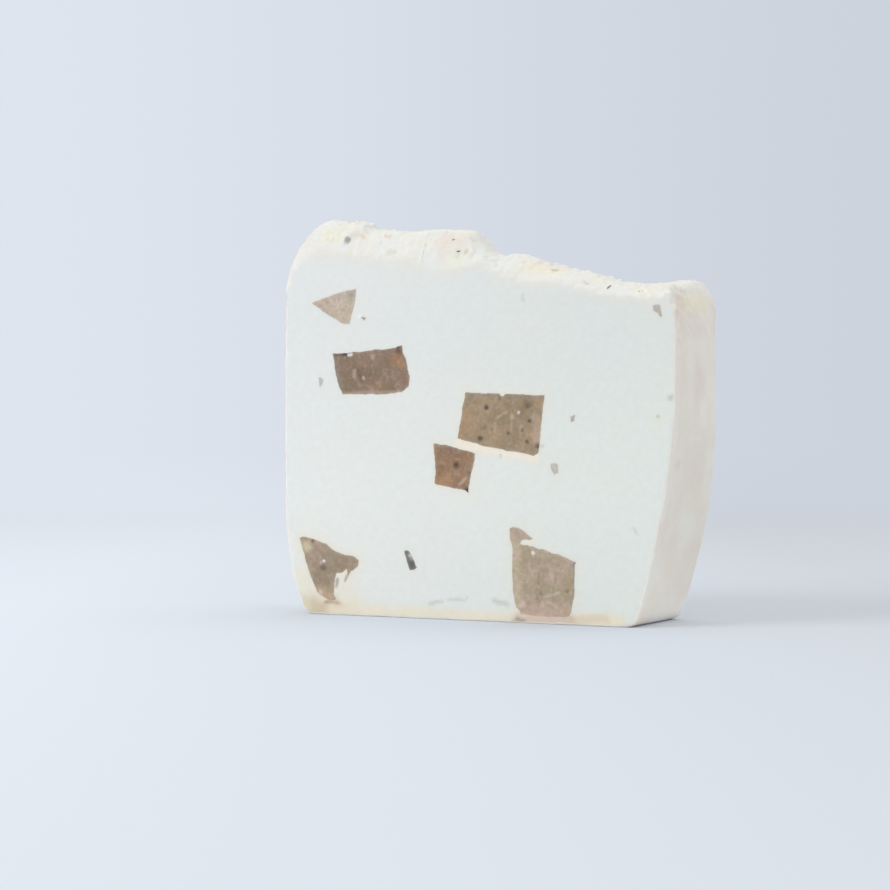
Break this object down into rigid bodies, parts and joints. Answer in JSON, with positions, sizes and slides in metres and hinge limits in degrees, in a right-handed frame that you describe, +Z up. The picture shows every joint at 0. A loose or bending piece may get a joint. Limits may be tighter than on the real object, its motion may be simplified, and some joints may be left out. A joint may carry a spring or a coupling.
{
  "type": "bar of soap",
  "caption": "Slice of cast white soap with a flat base, flat cut faces, a spoon-worked top, and pieces of brown soap set flush in its faces.",
  "frame": {"origin": "middle of the slice's width and thickness, on the surface that it stands on", "axes": "+X across the loaf, along the bar's width; +Y through the slice, from the front cut face to the back; +Z up from the flat base to the worked top"},
  "size_m": [0.084, 0.022, 0.08],
  "materials": {
    "white_soap": "matte, waxy",
    "pale_brown_soap": "matte, waxy",
    "brown_soap": "matte, waxy",
    "dark_brown_soap": "matte, waxy",
    "dark_chip": "matte"
  },
  "bodies": {
    "root": {"soap_body": "white_soap", "chunk_triangle": "pale_brown_soap", "chunk_dark_brick": "dark_brown_soap", "chunk_centre_slab": "brown_soap", "chunk_small_cube": "dark_brown_soap", "chunk_corner_shard": "brown_soap", "chunk_corner_block": "brown_soap", "dark_chip": "dark_chip", "crumb_left": "brown_soap", "crumb_tiny": "brown_soap", "crumb_top_right": "brown_soap", "crumb_middle_right": "brown_soap", "crumb_lower_right": "brown_soap"}
  },
  "joints": []
}
